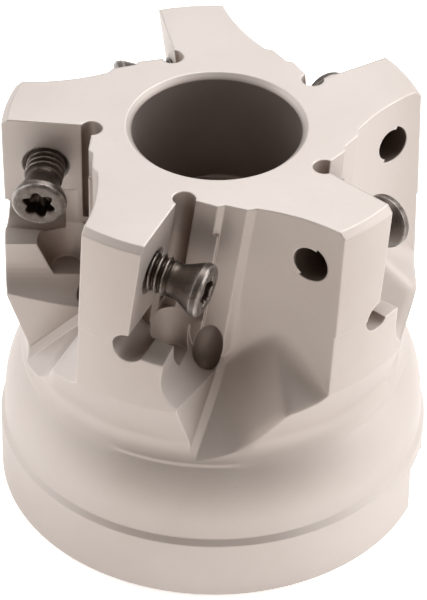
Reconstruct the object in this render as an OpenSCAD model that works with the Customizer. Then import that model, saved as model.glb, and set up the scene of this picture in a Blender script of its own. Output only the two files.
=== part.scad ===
// Shell-mount face mill, 1.50 in cutting diameter, five teeth, 3/4 in arbor.
// One steel body and the five insert screws, each half unscrewed from an empty pocket.
// Origin: centre of the hub's mounting face. +Z runs along the rotation axis to the cutting end.

/* [Body] */

// Height from the mounting face to the top of the teeth
body_height = 37.2; // [25:0.1:60]
// Diameter of the hub over its cylindrical band
hub_d = 38.1; // [30:0.05:60]
// Height of the hub's cylindrical band
band_height = 6; // [3:0.1:10]
// Diameter over the teeth, without inserts
tooth_d = 36.84; // [30:0.02:60]
// Depth of the bevel around the top of the teeth
tooth_bevel = 0.55; // [0.1:0.05:1.5]
// Number of teeth
teeth = 5; // [3:1:5]
// Direction of the first insert seat, counter-clockwise from the drive slot
first_seat_angle = 46; // [0:1:72]

/* [Arbor Mount] */

// Diameter of the arbor bore
arbor_bore_d = 19.05; // [12:0.05:30]
// Depth of the arbor bore from the mounting face
arbor_bore_depth = 18; // [12:0.5:22]
// Diameter of the hole for the arbor screw's shank
arbor_screw_d = 10.3; // [8:0.1:12]
// Diameter of the counterbore for the arbor screw's head
counterbore_d = 14.6; // [12:0.1:16]
// Depth of the counterbore from the top face
counterbore_depth = 11; // [6:0.1:14]
// Width of the drive slot across the mounting face
drive_slot_w = 7.94; // [6:0.02:12]
// Depth of the drive slot
drive_slot_depth = 4.76; // [3:0.02:7]

/* [Insert Seat] */

// Forward lean of the seats and flutes, the axial rake
seat_lean = 7.35; // [0:0.05:15]
// Turn of the seat face about its own height, which points the screw outward
seat_turn = 5; // [0:0.5:10]
// Distance of the seat's centre from the axis
seat_x = 14.65; // [12:0.05:18]
// Depth of the seat's centre below the top face, along the lean
seat_drop = 5.05; // [3:0.05:8]
// Distance from the seat's centre to the wall on its inner side
seat_inner = 4.15; // [3:0.05:6]
// Distance from the seat's centre down to the ledge that holds the insert
seat_ledge = 6.65; // [4:0.05:9]
// Width of that ledge, in front of the seat
ledge_w = 3.02; // [2:0.02:5]

/* [Insert Screw] */

// Outside diameter of the thread
thread_d = 3.4; // [2.5:0.05:5]
// Diametral clearance between the thread and its hole
thread_clearance = 0.1; // [0.04:0.02:0.2]
// Diameter of the hole where it leaves the tooth's back
exit_hole_d = 2.9; // [2:0.05:4]
// Diameter of the neck under the head
neck_d = 2.9; // [2:0.05:4]
// Diameter of the head
screw_head_d = 4.7; // [3:0.05:7]
// How far the head's face stands in front of the seat
screw_stand = 5; // [3:0.05:8]
// Length of thread inside the hole
thread_engaged = 2.6; // [1:0.05:4]
// Distance across the points of the drive recess
recess_d = 2.8; // [1.5:0.05:3.5]
// Depth of the drive recess
recess_depth = 1.4; // [0.5:0.05:2]

/* [Hidden] */

$fn = 96;
cut_past = 0.01;
cut_clear = 1;
arc_steps = 12;

// Hub and neck profile
hub_r = hub_d / 2;
tooth_r = tooth_d / 2;
edge_bevel = 0.4;
shoulder_step = 0.4;
shoulder_slope_w = 0.35;
shoulder_slope_h = 0.6;
shoulder_r = hub_r - shoulder_step;
shoulder_z = band_height + 2.2;
dome_r = 9.5;
dome_angle = 33.2;
neck_fillet_r = 2.6;
neck_min_r = 16.62;
neck_z = 15.1;
neck_flare = 19.5;
land_step = 0.12;
land_z = 26.4;

// Bore details
counterbore_bevel = 0.48;
bore_bevel = 0.5;

// Flute plan, in the leaned frame: x from the axis, y in front of the seat
wall_clear = 0.02;
step_1_y = 3.62;
step_2_x = 10.42;
step_2_y = 4.12;
step_bevel_end = -2.6;
step_bevel_past = 0.1;
step_bevel_clear = 0.03;
ridge_y = 6.1;
back_x = 9.97;
back_y = 6.75;
back_reach = 19;
flute_end_y = 26;
flute_r = 40;
ridge_overlap = 0.4;
plan_overlap = 3;
blend_bite = 0.01;

// Back wall, a hollow arc seen from above
back_arc_r = 17;
back_arc_x = 9.88;
back_arc_y = 8.6;

// Lower ramp, which carries the flute down and outward beside the ridge, with its rounded far side
ramp_at_y = 8.1;
ramp_x = 10.1;
ramp_z = -15.97;
ramp_fall = 45.8;
ramp_rise = -3;
ramp_turn = 30;
ramp_blend_r = 4.5;
ramp_side_y = -0.93;
ramp_side_r = 5;
ramp_side_slope = 33.5;
ridge_step = 0.45;
ridge_bite = 0.02;

// Upper ramp, beside the lower one and towards the tooth's outside
upper_at_y = 12.8;
upper_ramp_x = 13.24;
upper_ramp_y = 14.28;
upper_ramp_z = -16.3;
upper_ramp_fall = 41.7;
upper_ramp_rise = -13.7;
upper_ramp_blend_r = 3;

// Ease between the two ramps
ease_at_y = 11.5;
ease_x = 14.05;
ease_y = 12.91;
ease_z = -16.97;
ease_fall = 51.7;
ease_rise = 5.1;
ease_blend_r = 3.4;

// Gullet in front of the ledge, and the facet between it and the ramp
gullet_r = 3.3;
gullet_floor = -16.5;
facet_x = 10.75;
facet_z = -16;
facet_lean = 10.6;
facet_turn = -10.55;
facet_w = 1.4;
facet_overlap = 0.5;

// Relief grooves and the pocket under the insert's inner corner
seat_reach = 14;
seat_front = 3.9;
inner_groove_r = 0.98;
inner_groove_x = -4.02;
inner_groove_y = 0.36;
ledge_groove_r = 1.43;
ledge_groove_x = -1.6;
ledge_groove_y = 0.1;
ledge_groove_rise = 0.7;
corner_pocket_r = 2.55;
corner_pocket_x = 12.9;
corner_pocket_y = 2.6;
corner_pocket_top = -6.5;
corner_pocket_slope = 28.8;
corner_pocket_mid = -11.9;
corner_pocket_end = -14.9;
corner_pocket_tip_r = 1.4;
dimple_x = 10.9;
dimple_y = 4.93;
dimple_z = -14.9;
dimple_r = 1.3;
dimple_h = 2.5;

// Tapped hole and screw, along the screw's own axis
hole_d = thread_d + thread_clearance;
mouth_d = 4.2;
mouth_depth = 0.35;
tapped_depth = 5.6;
thread_out = 1.9;
neck_out = 2.3;
rim_h = 0.55;
rim_bevel = 0.22;
tip_bevel = 0.35;
recess_lobe_d = 0.56;
recess_core_d = 2.05;

// Which node to draw

function arc(cx, cy, r, from, to, steps) =
    [for (i = [0:steps]) let (a = from + (to - from) * i / steps) [cx + r * cos(a), cy + r * sin(a)]];

function unit(v) = v / norm(v);

function seat_angle(i) = first_seat_angle + 360 / teeth * i;

// Leaned frame of one seat: x radial, y in front of the seat, z up the lean from the top face
module leaned(i) {
    rotate([0, 0, seat_angle(i)])
        translate([0, 0, body_height])
            rotate([-seat_lean, 0, 0])
                children();
}

// Seat frame: origin at the screw's hole in the seat, y along the screw
module on_seat(i) {
    leaned(i)
        translate([seat_x, 0, -seat_drop])
            rotate([0, 0, -seat_turn])
                children();
}

module body_blank() {
    neck_x = neck_min_r + neck_fillet_r;
    flare_start = [neck_x - neck_fillet_r * cos(neck_flare), neck_z + neck_fillet_r * sin(neck_flare)];
    flare_top = flare_start[1] + (tooth_r - land_step - flare_start[0]) / tan(neck_flare);
    rotate_extrude()
        polygon(concat(
            [[0, 0], [hub_r - edge_bevel, 0], [hub_r, edge_bevel], [hub_r, band_height]],
            [[hub_r - shoulder_slope_w, band_height + shoulder_slope_h]],
            arc(shoulder_r - dome_r, shoulder_z, dome_r, 0, dome_angle, arc_steps),
            arc(neck_x, neck_z, neck_fillet_r, 180 + dome_angle, 180 - neck_flare, arc_steps),
            [[tooth_r - land_step, flare_top], [tooth_r - land_step, land_z]],
            [[tooth_r, land_z + land_step], [tooth_r, body_height - tooth_bevel]],
            [[tooth_r - tooth_bevel, body_height], [0, body_height]]
        ));
}

module arbor_openings() {
    translate([0, 0, -cut_clear])
        cylinder(d = arbor_bore_d, h = arbor_bore_depth + cut_clear);
    translate([0, 0, -cut_past])
        cylinder(d1 = arbor_bore_d + 2 * bore_bevel, d2 = arbor_bore_d, h = bore_bevel);
    cylinder(d = arbor_screw_d, h = body_height);
    translate([0, 0, body_height - counterbore_depth])
        cylinder(d = counterbore_d, h = counterbore_depth + cut_clear);
    translate([0, 0, body_height - counterbore_bevel])
        cylinder(d1 = counterbore_d, d2 = counterbore_d + 4 * counterbore_bevel, h = 2 * counterbore_bevel);
    translate([-hub_d, -drive_slot_w / 2, -cut_clear])
        cube([2 * hub_d, drive_slot_w, drive_slot_depth + cut_clear]);
}

// The seat's inner wall carries on in front of the ledge: its distance out, at a place in front of the seat
function seat_wall_x(y) = seat_x - seat_inner / cos(seat_turn) + y * tan(seat_turn) + wall_clear;

// Everything in front of the ridge's bevel, seen from above
module back_plan() {
    polygon([
        [step_2_x, ridge_y],
        [back_x + (back_x - step_2_x), back_y + (back_y - ridge_y)],
        [back_x + (back_x - step_2_x), back_reach],
        [flute_r, back_reach],
        [flute_r, ridge_y]
    ]);
}

// Everything in front of the two stepped walls beside the insert, seen from above
module wall_plan() {
    end = [step_2_x, ridge_y] + ([back_x, back_y] - [step_2_x, ridge_y]) * ridge_overlap;
    polygon([
        [seat_wall_x(ledge_w), ledge_w],
        [seat_wall_x(step_2_y), step_2_y],
        [step_2_x, step_2_y],
        [step_2_x, ridge_y],
        end,
        [flute_r, end[1]],
        [flute_r, ledge_w]
    ]);
}

// Bevel on the step between those two walls, near the top only
module step_bevel() {
    start = [seat_wall_x(step_1_y), step_1_y];
    end = [step_2_x + step_bevel_clear, step_2_y + step_bevel_clear];
    past = start + (start - end) * step_bevel_past;
    translate([0, 0, step_bevel_end])
        linear_extrude(height = flute_r)
            polygon([past, end, [past[0], end[1]]]);
}

// Frame on the ramp: x down the ridge, y across the floor, z out of the floor
module on_ramp() {
    translate([ramp_x, ridge_y, ramp_z])
        rotate([0, ramp_fall, 0])
            rotate([ramp_rise, 0, 0])
                children();
}

// Space above a sloping floor through a point, blended into the back wall's tangent at a distance y
module above_floor(through, fall, rise, at_y, blend_r) {
    lean = asin((at_y - back_arc_y) / back_arc_r);
    wall = [cos(lean), -sin(lean), 0];
    floor_up = [cos(rise) * sin(fall), -sin(rise), cos(rise) * cos(fall)];
    foot = [back_arc_x + back_arc_r * (1 - cos(lean)), at_y, 0];
    start = foot + [0, 0, (through - foot) * floor_up / floor_up[2]];
    along = unit(cross(floor_up, wall));
    down = cross(along, wall);
    turn = acos(wall * floor_up);
    t = blend_r * tan(turn / 2);
    multmatrix([
        [wall[0], down[0], along[0], start[0]],
        [wall[1], down[1], along[1], start[1]],
        [wall[2], down[2], along[2], start[2]],
        [0, 0, 0, 1]
    ])
        linear_extrude(height = 2 * flute_r, center = true)
            polygon(concat(
                [[-plan_overlap, -flute_r], [-plan_overlap, -t]],
                arc(blend_r - blend_bite, -t, blend_r, 180, 180 - turn, arc_steps),
                [[flute_r * sin(turn), flute_r * cos(turn)], [flute_r, -flute_r]]
            ));
}

// Space above the lower ramp, or above a floor parallel to it
module above_ramp(lift = 0) {
    floor_up = [cos(ramp_rise) * sin(ramp_fall), -sin(ramp_rise), cos(ramp_rise) * cos(ramp_fall)];
    above_floor([ramp_x, ridge_y, ramp_z] + lift * floor_up, ramp_fall, ramp_rise, ramp_at_y, ramp_blend_r);
}

module above_upper_ramp() {
    above_floor([upper_ramp_x, upper_ramp_y, upper_ramp_z], upper_ramp_fall, upper_ramp_rise, upper_at_y,
        upper_ramp_blend_r);
    above_floor([ease_x, ease_y, ease_z], ease_fall, ease_rise, ease_at_y, ease_blend_r);
}

// Space inside the ramp's far side, which turns away from the ridge and is rounded into the floor
module inside_ramp() {
    top = ramp_side_slope + 270;
    edge = [ramp_side_y + ramp_side_r * cos(top), ramp_side_r * (1 + sin(top)) - blend_bite];
    far = edge + flute_r * [cos(ramp_side_slope), sin(ramp_side_slope)];
    on_ramp()
        rotate([90, 0, 90 + ramp_turn])
            linear_extrude(height = 2 * flute_r, center = true)
                polygon(concat(
                    [[-flute_r, -blend_bite]],
                    arc(ramp_side_y, ramp_side_r - blend_bite, ramp_side_r, 270, top, arc_steps),
                    [far, [-flute_r, far[1]]]
                ));
}

// Space above the bevel that carries the ridge down the ramp
module above_ridge() {
    on_ramp()
        translate([0, 0, ridge_step])
            rotate([-atan(ridge_step / (back_y - ridge_y)), 0, 0])
                translate([-flute_r, -flute_r, 0])
                    cube(2 * flute_r);
}

// Space in front of the ledge, with its rounded foot
module gullet_side() {
    rotate([90, 0, 90])
        linear_extrude(height = flute_r)
            polygon(concat(
                [[ledge_w, flute_r]],
                arc(ledge_w + gullet_r, gullet_floor + gullet_r, gullet_r, 180, 270, arc_steps),
                [[flute_end_y, gullet_floor], [flute_end_y, flute_r]]
            ));
}

module flute() {
    intersection() {
        linear_extrude(height = 2 * flute_r, center = true)
            wall_plan();
        gullet_side();
        above_ramp(ridge_step - ridge_bite);
    }
    intersection() {
        linear_extrude(height = 2 * flute_r, center = true)
            back_plan();
        translate([back_arc_x + back_arc_r, back_arc_y, 0])
            cylinder(r = back_arc_r, h = 2 * flute_r, center = true);
        above_ridge();
        union() {
            above_upper_ramp();
            intersection() {
                above_ramp();
                inside_ramp();
            }
        }
    }
    intersection() {
        above_ramp(ridge_step - ridge_bite);
        translate([facet_x, ridge_y, facet_z])
            rotate([facet_lean, 0, facet_turn])
                translate([-flute_r / 2, 0, -flute_r / 2])
                    cube([flute_r, facet_w, flute_r]);
        translate([step_2_x, 0, gullet_floor - flute_r])
            cube([flute_r, flute_end_y, flute_r + facet_overlap]);
    }
    step_bevel();
}

// Pocket under the insert's inner corner, with a sloping roof and a tapered end
module corner_pocket() {
    intersection() {
        translate([corner_pocket_x, corner_pocket_y, corner_pocket_mid])
            cylinder(r = corner_pocket_r, h = -corner_pocket_mid);
        translate([corner_pocket_x, corner_pocket_y, corner_pocket_top])
            rotate([corner_pocket_slope, 0, 0])
                translate([-flute_r / 2, -flute_r / 2, -flute_r])
                    cube(flute_r);
    }
    translate([corner_pocket_x, corner_pocket_y, corner_pocket_end])
        cylinder(r1 = corner_pocket_tip_r, r2 = corner_pocket_r, h = corner_pocket_mid - corner_pocket_end);
}

// Oval dimple at the foot of the inner wall
module dimple() {
    translate([dimple_x, dimple_y, dimple_z])
        rotate_extrude()
            polygon(concat(
                [[0, -dimple_h]],
                [for (a = [-80:10:80]) [dimple_r * cos(a), dimple_h * sin(a)]],
                [[0, dimple_h]]
            ));
}

// Insert pocket: the seat, the wall on its inner side, the ledge below, and the relief grooves
module insert_seat() {
    translate([-seat_inner, 0, -seat_ledge])
        cube([seat_reach + seat_inner, seat_front, seat_reach + seat_ledge]);
    translate([inner_groove_x, inner_groove_y, -seat_ledge + ledge_groove_rise])
        cylinder(r = inner_groove_r, h = seat_reach + seat_ledge);
    translate([ledge_groove_x, ledge_groove_y, -seat_ledge + ledge_groove_rise])
        rotate([0, 90, 0])
            cylinder(r = ledge_groove_r, h = seat_reach);
}

// Tapped hole behind the seat, which comes out through the tooth's back as a plain hole
module screw_hole() {
    rotate([90, 0, 0]) {
        translate([0, 0, -cut_clear])
            cylinder(d = hole_d, h = tapped_depth + cut_clear);
        cylinder(d = exit_hole_d, h = seat_reach);
        translate([0, 0, -cut_past])
            cylinder(d1 = mouth_d, d2 = hole_d, h = mouth_depth);
    }
}

module cutter_body() {
    color([0.80, 0.76, 0.72])
        difference() {
            body_blank();
            arbor_openings();
            for (i = [0:teeth - 1]) {
                leaned(i) {
                    flute();
                    corner_pocket();
                    dimple();
                }
                on_seat(i) {
                    insert_seat();
                    screw_hole();
                }
            }
        }
}

// Six-lobed drive recess
module drive_recess() {
    cylinder(d = recess_core_d, h = recess_depth);
    for (a = [0:60:300])
        rotate([0, 0, a])
            translate([(recess_d - recess_lobe_d) / 2, 0, 0])
                cylinder(d = recess_lobe_d, h = recess_depth);
}

module insert_screw(i) {
    head_r = screw_head_d / 2;
    thread_r = thread_d / 2;
    neck_r = neck_d / 2;
    rim_base = screw_stand - rim_h - rim_bevel;
    color([0.22, 0.17, 0.14])
        on_seat(i)
            rotate([-90, 0, 0])
                difference() {
                    rotate_extrude()
                        polygon([
                            [0, -thread_engaged],
                            [thread_r - tip_bevel, -thread_engaged],
                            [thread_r, -thread_engaged + tip_bevel],
                            [thread_r, thread_out],
                            [neck_r, neck_out],
                            [head_r, rim_base],
                            [head_r, screw_stand - rim_bevel],
                            [head_r - rim_bevel, screw_stand],
                            [0, screw_stand]
                        ]);
                    translate([0, 0, screw_stand - recess_depth])
                        drive_recess();
                }
}

cutter_body();
insert_screw(0);  // insert_screw_1
insert_screw(1);  // insert_screw_2
insert_screw(2);  // insert_screw_3
insert_screw(3);  // insert_screw_4
insert_screw(4);  // insert_screw_5
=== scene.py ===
"""Shell-mount face mill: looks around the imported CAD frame. Metres, row frame, +Z up."""

import math

import bpy
from mathutils import Euler, Matrix, Vector


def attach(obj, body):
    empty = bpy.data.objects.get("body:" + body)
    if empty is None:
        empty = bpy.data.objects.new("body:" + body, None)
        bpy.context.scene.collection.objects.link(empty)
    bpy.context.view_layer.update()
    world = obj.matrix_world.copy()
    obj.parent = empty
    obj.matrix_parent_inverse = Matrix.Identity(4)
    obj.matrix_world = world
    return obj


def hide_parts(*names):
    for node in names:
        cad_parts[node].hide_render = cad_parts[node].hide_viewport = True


MM = 0.001

# Camera: looks at a point beside the hub face's centre, from the front and above
CAMERA_AZIMUTH = 10.0
CAMERA_ELEVATION = 38.937
CAMERA_ROLL = 0.835
CAMERA_DISTANCE = 351.2 * MM
CAMERA_AIM_RIGHT = 0.127 * MM
CAMERA_AIM_UP = 14.035 * MM
CAMERA_LENS = 231.18
CAMERA_SENSOR = 36.0

# Seats, as the CAD source has them
TEETH = 5
FIRST_SEAT = 46.0
BODY_HEIGHT = 37.2 * MM
SEAT_LEAN = 7.35
SEAT_TURN = 5.0
SEAT_X = 14.65 * MM
SEAT_DROP = 5.05 * MM
BORE_R = 7.3 * MM

# Insert screw, along its own axis from the seat's face
HEAD_R = 2.35 * MM
HEAD_TOP = 5.0 * MM
RIM_H = 0.55 * MM
RIM_BEVEL = 0.22 * MM
CONE_RINGS = 8
CONE_SWELL = 1.12
NECK_R = 1.45 * MM
NECK_TOP = 2.3 * MM
THREAD_R = 1.70 * MM
THREAD_ROOT_R = 1.36 * MM
THREAD_PITCH = 0.6 * MM
THREAD_TOP = 1.9 * MM
THREAD_END = THREAD_TOP + 0.1 * MM
THREAD_RUN_IN = 0.55 * MM
THREAD_RUN_OUT = 0.5 * MM
THREAD_FLAT = 0.10
THREAD_SLOPE = 0.72
THREAD_CREST = 0.85
THREAD_CREST_WEAR = 0.75
TIP = -2.6 * MM
TIP_TAPER = 0.30 * MM
TIP_TAPER_H = 0.35 * MM
RECESS_POINT_R = 1.40 * MM
RECESS_WAIST_R = 0.98 * MM
RECESS_LOBES = 6
RECESS_LOBE_POWER = 0.85
RECESS_FLOOR = 1.6 * MM
SCREW_COLUMNS = 96
THREAD_ROWS_PER_TURN = 9

# Rings in mm with their wear from 0 to 1. The rim's foot: height above it, step in from the head's radius
RIM_FOOT_RINGS = ((-0.03, 0.045, 0.35), (0.0, 0.015, 0.85), (0.05, 0.0, 0.55), (0.14, 0.0, 0.20))
# The head's top: depth below it, step in from the head's radius
RIM_TOP_RINGS = (
    (0.34, 0.0, 0.20), (0.25, 0.0, 0.60), (0.20, 0.02, 0.95),
    (0.04, 0.19, 0.45), (0.0, 0.25, 0.34), (0.0, 0.45, 0.24),
)
# The recess: depth below the head's top, growth past the lobed outline
RECESS_RINGS = (
    (0.0, 0.16, 0.24), (0.03, 0.09, 0.45), (0.12, 0.02, 0.20), (0.22, 0.0, 0.0),
    (1.35, 0.0, 0.0), (1.40, -0.06, 0.0), (1.52, -0.55, 0.0),
)
CONE_WEAR = 0.04
NECK_WEAR = 0.05
NECK_FOOT_WEAR = 0.10

# How each screw is turned about its axis, in degrees
SCREW_TURN_FIRST = 8.0
SCREW_TURN_STEP = 17.0

# Body's steel: its tones, the tone of each special place, and how much of that tone shows there; the recess
# tone is painted shade
STEEL_DARKER = (0.55, 0.496, 0.464)
STEEL_PALER = (0.60, 0.551, 0.521)
SPECK_TONE = (0.50, 0.44, 0.40)
SPECK_SHARE = 0.35
# Painted shade: warm brown darkening in recesses, where the faces round a point hide the surroundings
RECESS_SHADE_TONE = (0.24, 0.168, 0.125)
RECESS_SHADE_SHARE = 0.80
RECESS_REACH = 6.5 * MM
RECESS_OPEN = 0.74
RECESS_CLOSED = 0.24
BORE_TONE = (0.150, 0.090, 0.065)
BORE_SHARE = 0.50
EDGE_TONE = (0.80, 0.76, 0.72)
EDGE_SHARE = 0.22
EDGE_POLISH = 0.08
STEEL_SMOOTH = 0.54
STEEL_ROUGH = 0.62
STEEL_SPECULAR = 0.4
METALLIC = 0.85
BUMP_STRENGTH = 0.22
GRAIN_DEPTH = 0.02 * MM

# Edge of the dark bore: how far outside its radius and how far below the top it fades in
BORE_FADE_R = (0.45 * MM, 0.15 * MM)
BORE_FADE_Z = (0.20 * MM, 0.48 * MM)

# Screws' black oxide, and the steel that shows through where it is rubbed
OXIDE_BLACK = (0.040, 0.030, 0.024)
OXIDE_BROWN = (0.105, 0.080, 0.066)
OXIDE_RUBBED = (0.50, 0.46, 0.43)
OXIDE_SMOOTH = 0.26
OXIDE_ROUGH = 0.44
OXIDE_DEPTH = 0.01 * MM

# Studio: the direction that it is dimmest in, its brightness away from there and towards it, and its tints
WORLD_DARK_SIDE = (0.15, -0.85, 0.50)
WORLD_EDGE_LOW = 0.05
WORLD_EDGE_HIGH = 0.85
WORLD_BRIGHT = 0.88
WORLD_DARK = 0.24
WORLD_BRIGHT_TINT = (1.0, 0.993, 0.990)
WORLD_DARK_TINT = (1.0, 0.89, 0.81)

# Floor: painted light, it glows white round the object; painted shade, it fades to a darker cream in front,
# from one depth to another
FLOOR_HALF = 3.0
FLOOR_FRONT = (math.sin(math.radians(CAMERA_AZIMUTH)), -math.cos(math.radians(CAMERA_AZIMUTH)), 0.0)
FLOOR_FRONT_START = 21 * MM
FLOOR_FRONT_END = 52 * MM
FLOOR_GLOW = 0.60
FLOOR_GLOW_TINT = (1.0, 0.985, 0.97, 1.0)
FLOOR_WHITE = (0.94, 0.94, 0.94)
FLOOR_FRONT_SHADE_CREAM = (0.84, 0.78, 0.73)
FLOOR_ROUGHNESS = 0.9

# Lights: azimuth and elevation in degrees, size in metres, power in watts
LIGHT_DISTANCE = 0.6
LIGHTS = {"back_top": (150, 62, 0.5, 2.2), "right": (95, 25, 0.4, 1.15), "left": (-85, 30, 0.4, 0.75)}

# Rounding that the body's edges show, and the cosine of how far it leans on a flat and on a sharp edge
EDGE_R = 0.22 * MM
EDGE_FLAT = 0.995
EDGE_SHARP = 0.90

# Wider rounding low in the flutes: by angle past the seat, height and distance from the axis
FLUTE_EDGE_R = 1.7 * MM
FLUTE_FROM = math.radians(24.0)
FLUTE_TO = math.radians(62.0)
FLUTE_FADE = math.radians(5.0)
FLUTE_TOP = 27.5 * MM
FLUTE_DEEP = 24.5 * MM
FLUTE_OUT = 18.2 * MM
FLUTE_IN = 17.0 * MM

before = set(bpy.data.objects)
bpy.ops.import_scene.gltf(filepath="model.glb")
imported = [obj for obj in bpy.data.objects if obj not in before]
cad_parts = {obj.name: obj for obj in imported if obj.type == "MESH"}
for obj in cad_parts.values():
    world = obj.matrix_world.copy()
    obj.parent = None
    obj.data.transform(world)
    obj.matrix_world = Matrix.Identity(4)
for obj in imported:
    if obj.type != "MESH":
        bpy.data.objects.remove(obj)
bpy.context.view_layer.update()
scene = bpy.context.scene


# ---------------------------------------------------------------- nodes


def new_material(name):
    """An empty node material and its Principled shader."""
    material = bpy.data.materials.new(name)
    material.use_nodes = True
    nodes = material.node_tree.nodes
    nodes.clear()
    shader = nodes.new("ShaderNodeBsdfPrincipled")
    output = nodes.new("ShaderNodeOutputMaterial")
    material.node_tree.links.new(shader.outputs["BSDF"], output.inputs["Surface"])
    return material, shader


def join(tree_owner, socket, target):
    tree_owner.node_tree.links.new(socket, target)


def feed(tree_owner, target, value):
    """Links a socket to an input, or sets the input to a plain value."""
    if isinstance(value, bpy.types.NodeSocket):
        join(tree_owner, value, target)
    else:
        target.default_value = value


def add(tree_owner, kind, inputs=None, **settings):
    """Adds a node, with its settings and its inputs, which are values or sockets."""
    node = tree_owner.node_tree.nodes.new(kind)
    for key, value in settings.items():
        setattr(node, key, value)
    for key, value in (inputs or {}).items():
        feed(tree_owner, node.inputs[key], value)
    return node


def object_place(material):
    return add(material, "ShaderNodeTexCoord").outputs["Object"]


def noise(material, place, scale, detail, roughness):
    inputs = {"Vector": place, "Scale": scale, "Detail": detail, "Roughness": roughness}
    return add(material, "ShaderNodeTexNoise", inputs).outputs["Fac"]


def remap(tree_owner, value, low, high, to_low=0.0, to_high=1.0):
    """Maps low..high to to_low..to_high and holds the ends. Low may be above high."""
    inputs = {"Value": value, "From Min": low, "From Max": high, "To Min": to_low, "To Max": to_high}
    return add(tree_owner, "ShaderNodeMapRange", inputs).outputs["Result"]


def maths(material, operation, a, b=0.0):
    return add(material, "ShaderNodeMath", {0: a, 1: b}, operation=operation).outputs["Value"]


def dot(tree_owner, a, b):
    inputs = {0: a, 1: b}
    return add(tree_owner, "ShaderNodeVectorMath", inputs, operation="DOT_PRODUCT").outputs["Value"]


def split(material, place):
    return add(material, "ShaderNodeSeparateXYZ", {"Vector": place}).outputs


def mix_colour(tree_owner, share, a, b):
    """A colour between a and b. Each is a socket or three numbers."""
    colours = [c if isinstance(c, bpy.types.NodeSocket) else (*c, 1.0) for c in (a, b)]
    inputs = {0: share, 6: colours[0], 7: colours[1]}
    return add(tree_owner, "ShaderNodeMix", inputs, data_type="RGBA").outputs[2]


def bump(material, distance, height, **more):
    inputs = {"Strength": BUMP_STRENGTH, "Distance": distance, "Height": height, **more}
    return add(material, "ShaderNodeBump", inputs).outputs["Normal"]


# ---------------------------------------------------------------- masks


def edge_mask(material, normal):
    """1 on sharp edges, from how far a rounded normal leans away from the face's own."""
    own = add(material, "ShaderNodeNewGeometry").outputs["Normal"]
    return remap(material, dot(material, normal, own), EDGE_FLAT, EDGE_SHARP)


def distance_from_axis(material, place):
    at = split(material, place)
    x2 = maths(material, "MULTIPLY", at["X"], at["X"])
    y2 = maths(material, "MULTIPLY", at["Y"], at["Y"])
    return maths(material, "SQRT", maths(material, "ADD", x2, y2))


def low_in_flute(material, place):
    """1 low down in the flutes, 0 at the seats and on the outside."""
    at = split(material, place)
    angle = maths(material, "ARCTAN2", at["Y"], at["X"])
    past = maths(material, "SUBTRACT", angle, math.radians(FIRST_SEAT))
    past = maths(material, "FLOORED_MODULO", past, 2 * math.pi / TEETH)
    after = remap(material, past, FLUTE_FROM, FLUTE_FROM + FLUTE_FADE)
    before = remap(material, past, FLUTE_TO, FLUTE_TO - FLUTE_FADE)
    deep = remap(material, at["Z"], FLUTE_TOP, FLUTE_DEEP)
    inside = remap(material, distance_from_axis(material, place), FLUTE_OUT, FLUTE_IN)
    between = maths(material, "MULTIPLY", after, before)
    return maths(material, "MULTIPLY", between, maths(material, "MULTIPLY", deep, inside))


def in_bore(material, place):
    """1 in the counterbore, from just under its top edge."""
    r = distance_from_axis(material, place)
    inside = remap(material, r, BORE_R + BORE_FADE_R[0], BORE_R + BORE_FADE_R[1])
    below = remap(
        material, split(material, place)["Z"], BODY_HEIGHT - BORE_FADE_Z[0], BODY_HEIGHT - BORE_FADE_Z[1]
    )
    return maths(material, "MULTIPLY", inside, below)


def recess_shade_mask(material):
    """Mask for painted shade: 1 where the faces round a point hide the surroundings."""
    inputs = {"Distance": RECESS_REACH}
    hidden = add(material, "ShaderNodeAmbientOcclusion", inputs, samples=8, only_local=True).outputs["AO"]
    return remap(material, hidden, RECESS_OPEN, RECESS_CLOSED, 0.0, RECESS_SHADE_SHARE)


# ---------------------------------------------------------------- materials


def body_material():
    """Bead-blasted tool steel: warm satin grey, paler edges, painted brown shade in recesses, and browner
    down the bore.
    """
    material, shader = new_material("body_steel")
    place = object_place(material)
    in_flute = low_in_flute(material, place)
    radius = remap(material, in_flute, 0.0, 1.0, EDGE_R, FLUTE_EDGE_R)
    rounded = add(material, "ShaderNodeBevel", {"Radius": radius}, samples=12).outputs["Normal"]
    sharp = maths(material, "SUBTRACT", 1.0, in_flute)
    edge = maths(material, "MULTIPLY", edge_mask(material, rounded), sharp)

    clouds = noise(material, place, scale=90.0, detail=3.0, roughness=0.55)
    specks = noise(material, place, scale=2600.0, detail=2.0, roughness=0.6)
    speck = remap(material, specks, 0.62, 0.80, 0.0, SPECK_SHARE)
    bore = maths(material, "MULTIPLY", in_bore(material, place), BORE_SHARE)
    pale = maths(material, "MULTIPLY", edge, EDGE_SHARE)
    colour = mix_colour(material, remap(material, clouds, 0.35, 0.68), STEEL_DARKER, STEEL_PALER)
    colour = mix_colour(material, speck, colour, SPECK_TONE)
    # Painted shade in the recesses
    colour = mix_colour(material, recess_shade_mask(material), colour, RECESS_SHADE_TONE)
    colour = mix_colour(material, bore, colour, BORE_TONE)
    colour = mix_colour(material, pale, colour, EDGE_TONE)
    join(material, colour, shader.inputs["Base Color"])

    rough = remap(material, clouds, 0.3, 0.7, STEEL_SMOOTH, STEEL_ROUGH)
    rough = maths(material, "SUBTRACT", rough, maths(material, "MULTIPLY", edge, EDGE_POLISH))
    join(material, rough, shader.inputs["Roughness"])
    shader.inputs["Metallic"].default_value = METALLIC
    shader.inputs["Specular IOR Level"].default_value = STEEL_SPECULAR

    grain = noise(material, place, scale=5200.0, detail=2.0, roughness=0.7)
    join(material, bump(material, GRAIN_DEPTH, grain, Normal=rounded), shader.inputs["Normal"])
    return material


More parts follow.
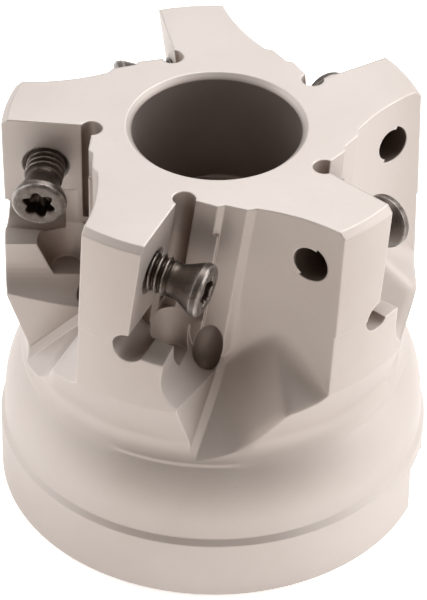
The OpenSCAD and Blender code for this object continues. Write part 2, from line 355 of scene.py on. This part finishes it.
def screw_material():
    """Black oxide over steel, brown-black, rubbed bright where the mesh's wear value is high."""
    material, shader = new_material("screw_black_oxide")
    place = object_place(material)
    wear = add(material, "ShaderNodeAttribute", attribute_name="wear").outputs["Fac"]
    patch = noise(material, place, scale=1800.0, detail=4.0, roughness=0.65)
    blotch = noise(material, place, scale=700.0, detail=3.0, roughness=0.6)
    broken = maths(material, "MULTIPLY", wear, remap(material, patch, 0.30, 0.62, 0.25, 1.0))
    oxide_tone = mix_colour(material, blotch, OXIDE_BLACK, OXIDE_BROWN)
    join(material, mix_colour(material, broken, oxide_tone, OXIDE_RUBBED), shader.inputs["Base Color"])
    join(material, remap(material, patch, 0.3, 0.7, OXIDE_SMOOTH, OXIDE_ROUGH), shader.inputs["Roughness"])
    shader.inputs["Metallic"].default_value = METALLIC
    join(material, bump(material, OXIDE_DEPTH, patch), shader.inputs["Normal"])
    return material


def floor_material():
    """White floor with painted light that glows round the object, and painted shade that dims it to cream
    in front of it.
    """
    material, shader = new_material("floor_paper")
    depth = dot(material, object_place(material), FLOOR_FRONT)
    front = remap(material, depth, FLOOR_FRONT_START, FLOOR_FRONT_END)
    # Painted shade: darker cream floor in front; painted light: emission round the object
    join(material, mix_colour(material, front, FLOOR_WHITE, FLOOR_FRONT_SHADE_CREAM), shader.inputs["Base Color"])
    glow = remap(material, front, 0.0, 1.0, FLOOR_GLOW, 0.0)
    join(material, glow, shader.inputs["Emission Strength"])
    shader.inputs["Emission Color"].default_value = FLOOR_GLOW_TINT
    shader.inputs["Roughness"].default_value = FLOOR_ROUGHNESS
    return material


# ---------------------------------------------------------------- screws


def leaned(i):
    """Leaned frame of a seat: x radial, y in front of the seat, z up the lean from the top face."""
    turn = Matrix.Rotation(math.radians(FIRST_SEAT + 360.0 / TEETH * i), 4, "Z")
    lift = Matrix.Translation((0, 0, BODY_HEIGHT))
    return turn @ lift @ Matrix.Rotation(math.radians(-SEAT_LEAN), 4, "X")


def on_seat(i):
    """Frame whose z runs out of the seat along the screw's axis."""
    move = Matrix.Translation((SEAT_X, 0, -SEAT_DROP))
    turn = Matrix.Rotation(math.radians(-SEAT_TURN), 4, "Z")
    return leaned(i) @ move @ turn @ Matrix.Rotation(math.radians(-90), 4, "X")


def add_mesh(name, points, faces, material):
    mesh = bpy.data.meshes.new(name)
    mesh.from_pydata(points, [], faces)
    mesh.validate()
    mesh.materials.append(material)
    piece = bpy.data.objects.new(name, mesh)
    scene.collection.objects.link(piece)
    return piece


def grid(rows, columns):
    """Faces of a tube of rows x columns, closed at each end round a point that comes after the grid's."""
    faces = []
    top = (rows - 1) * columns
    for low in range(0, top, columns):
        high = low + columns
        for c in range(columns):
            d = (c + 1) % columns
            faces.append((low + c, low + d, high + d, high + c))
    first = rows * columns
    for c in range(columns):
        d = (c + 1) % columns
        faces.append((first, d, c))
        faces.append((first + 1, top + c, top + d))
    return faces


def smooth_step(t):
    t = max(0.0, min(1.0, t))
    return t * t * (3 - 2 * t)


def thread_shape(z, angle):
    """0 at the thread's root and 1 on its crest, at a height and an angle round the screw."""
    phase = (z / THREAD_PITCH - angle / (2 * math.pi)) % 1.0
    rise = 1.0 - abs(2.0 * phase - 1.0)
    return max(0.0, min(1.0, (rise - THREAD_FLAT) / THREAD_SLOPE))


def thread_point(z, angle):
    """Radius and wear of the thread, which fades in from the tapered tip and out into the neck."""
    height = thread_shape(z, angle)
    fade = smooth_step((z - TIP) / THREAD_RUN_IN) * smooth_step((THREAD_END - z) / THREAD_RUN_OUT)
    into_neck = smooth_step((z - THREAD_TOP + THREAD_RUN_OUT) / THREAD_RUN_OUT)
    core = THREAD_ROOT_R + (NECK_R - THREAD_ROOT_R) * into_neck
    taper = TIP_TAPER * (1 - smooth_step((z - TIP) / TIP_TAPER_H))
    wear = max(0.0, height - THREAD_CREST) / (1 - THREAD_CREST) * THREAD_CREST_WEAR * fade
    return core - taper + (THREAD_R - THREAD_ROOT_R) * height * fade, wear


def lobed_r(angle):
    """Radius of the six-lobed recess."""
    lobe = (0.5 + 0.5 * math.cos(RECESS_LOBES * angle)) ** RECESS_LOBE_POWER
    return RECESS_WAIST_R + (RECESS_POINT_R - RECESS_WAIST_R) * lobe


def thread_rings():
    """Heights of the rings that the thread is made of."""
    length = THREAD_TOP - TIP
    steps = round(length / THREAD_PITCH * THREAD_ROWS_PER_TURN)
    return [TIP + length * k / steps for k in range(steps + 1)]


def head_rings():
    """Round rings from the neck up the cone and the rim to the head's face: height, radius and wear."""
    rim_foot = HEAD_TOP - RIM_H - RIM_BEVEL
    rings = [(THREAD_END, NECK_R + 0.02 * MM, NECK_FOOT_WEAR), (NECK_TOP, NECK_R, NECK_WEAR)]
    for k in range(1, CONE_RINGS):
        t = k / CONE_RINGS
        swell = (HEAD_R - NECK_R) * t ** CONE_SWELL
        rings.append((NECK_TOP + (rim_foot - NECK_TOP) * t, NECK_R + swell, CONE_WEAR))
    rings += [(rim_foot + up * MM, HEAD_R - step * MM, wear) for up, step, wear in RIM_FOOT_RINGS]
    rings += [(HEAD_TOP - down * MM, HEAD_R - step * MM, wear) for down, step, wear in RIM_TOP_RINGS]
    return rings


def screw_mesh(name, material, turned):
    """The whole screw as one closed grid, from its tip up to the head's face and down the recess."""
    angles = [2 * math.pi * c / SCREW_COLUMNS for c in range(SCREW_COLUMNS)]
    ring_z, radii, wear = [], [], []
    for z in thread_rings():
        sides = [thread_point(z, angle) for angle in angles]
        ring_z.append(z)
        radii.append([side[0] for side in sides])
        wear += [side[1] for side in sides]
    for z, r, worn in head_rings():
        ring_z.append(z)
        radii.append([r] * SCREW_COLUMNS)
        wear += [worn] * SCREW_COLUMNS
    for down, growth, worn in RECESS_RINGS:
        ring_z.append(HEAD_TOP - down * MM)
        radii.append([lobed_r(angle) + growth * MM for angle in angles])
        wear += [worn] * SCREW_COLUMNS

    points = [
        (r * math.cos(angle + turned), r * math.sin(angle + turned), z)
        for z, ring in zip(ring_z, radii)
        for r, angle in zip(ring, angles)
    ]
    points += [(0, 0, TIP), (0, 0, HEAD_TOP - RECESS_FLOOR)]
    wear += [0.0, 0.0]
    piece = add_mesh(name, points, grid(len(ring_z), SCREW_COLUMNS), material)
    piece.data.attributes.new("wear", "FLOAT", "POINT").data.foreach_set("value", wear)
    piece.data.shade_smooth()
    return piece


# ---------------------------------------------------------------- the object


def dress_body(material):
    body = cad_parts["cutter_body"]
    body.data.materials.clear()
    body.data.materials.append(material)


def add_screws(material):
    """Threaded screws in place of the plain ones, each on its own body."""
    for i in range(TEETH):
        turned = math.radians(SCREW_TURN_FIRST + SCREW_TURN_STEP * i)
        screw = screw_mesh(f"screw_detail_{i + 1}", material, turned)
        screw.data.transform(on_seat(i))
        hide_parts(f"insert_screw_{i + 1}")
        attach(screw, f"screw_{i + 1}")


# ---------------------------------------------------------------- stage, light, camera


def add_floor():
    corners = [(-1, -1), (1, -1), (1, 1), (-1, 1)]
    points = [(FLOOR_HALF * x, FLOOR_HALF * y, 0) for x, y in corners]
    floor = add_mesh("floor", points, [(0, 1, 2, 3)], floor_material())


def add_light(name, azimuth, elevation, size, power):
    """A round soft light aimed at the middle of the object."""
    data = bpy.data.lights.new(name, "AREA")
    data.shape = "DISK"
    data.size = size
    data.energy = power
    light = bpy.data.objects.new(name, data)
    a, e = math.radians(azimuth), math.radians(elevation)
    back = Vector((math.sin(a) * math.cos(e), -math.cos(a) * math.cos(e), math.sin(e)))
    light.location = Vector((0, 0, BODY_HEIGHT / 2)) + back * LIGHT_DISTANCE
    light.rotation_mode = "QUATERNION"
    light.rotation_quaternion = (-back).to_track_quat("-Z", "Y")
    scene.collection.objects.link(light)


def add_world():
    """A soft studio: bright behind, above and to the sides, dimmer and warmer towards the camera's side."""
    world = bpy.data.worlds.new("studio")
    world.use_nodes = True
    background = world.node_tree.nodes["Background"]
    where = add(world, "ShaderNodeTexCoord").outputs["Generated"]
    facing = dot(world, where, WORLD_DARK_SIDE)
    level = remap(world, facing, WORLD_EDGE_LOW, WORLD_EDGE_HIGH, WORLD_BRIGHT, WORLD_DARK)
    warmth = remap(world, level, WORLD_BRIGHT, WORLD_DARK)
    join(world, mix_colour(world, warmth, WORLD_BRIGHT_TINT, WORLD_DARK_TINT), background.inputs["Color"])
    join(world, level, background.inputs["Strength"])
    scene.world = world


def add_camera():
    data = bpy.data.cameras.new("camera")
    data.lens = CAMERA_LENS
    data.sensor_width = CAMERA_SENSOR
    data.sensor_fit = "AUTO"
    data.clip_start = 0.01
    data.clip_end = 20.0
    camera = bpy.data.objects.new("camera", data)
    tilt = math.radians(90 - CAMERA_ELEVATION)
    turn = Euler((tilt, 0, math.radians(CAMERA_AZIMUTH))).to_matrix()
    turn = turn @ Matrix.Rotation(math.radians(CAMERA_ROLL), 3, "Z")
    right, up, back = turn.col[0], turn.col[1], turn.col[2]
    camera.location = right * CAMERA_AIM_RIGHT + up * CAMERA_AIM_UP + back * CAMERA_DISTANCE
    camera.rotation_mode = "QUATERNION"
    camera.rotation_quaternion = turn.to_quaternion()
    scene.collection.objects.link(camera)
    scene.camera = camera


dress_body(body_material())
add_screws(screw_material())
add_floor()
add_world()
for light_name, settings in LIGHTS.items():
    add_light(light_name, *settings)
add_camera()
scene.view_settings.view_transform = "Standard"
scene.view_settings.look = "None"
